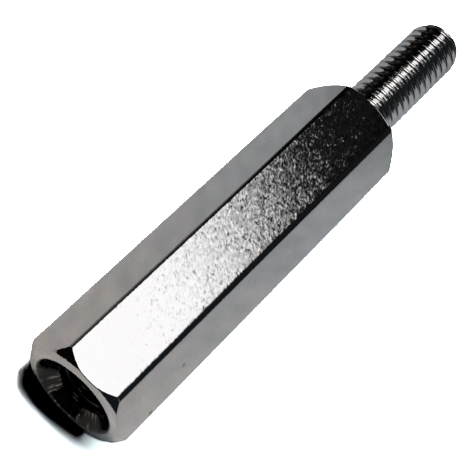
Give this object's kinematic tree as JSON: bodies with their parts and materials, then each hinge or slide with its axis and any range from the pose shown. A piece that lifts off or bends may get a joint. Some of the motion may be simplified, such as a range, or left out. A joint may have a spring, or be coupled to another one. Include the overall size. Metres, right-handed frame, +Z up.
{
  "type": "hex standoff",
  "caption": "Male-female hexagonal standoff: a long chamfered hex body with a countersunk tapped hole at one end and a threaded stud at the other.",
  "frame": {"origin": "centre of the tapped end's face, on the axis", "axes": "+X along the axis from the tapped end to the stud's tip, +Z up and square to the flat that the body lies on, +Y across"},
  "size_m": [0.0278, 0.0056, 0.005],
  "materials": {
    "nickel_plate": "bright nickel plating on brass, smooth with a fine grain"
  },
  "bodies": {
    "root": {"standoff": "nickel_plate"}
  },
  "joints": []
}
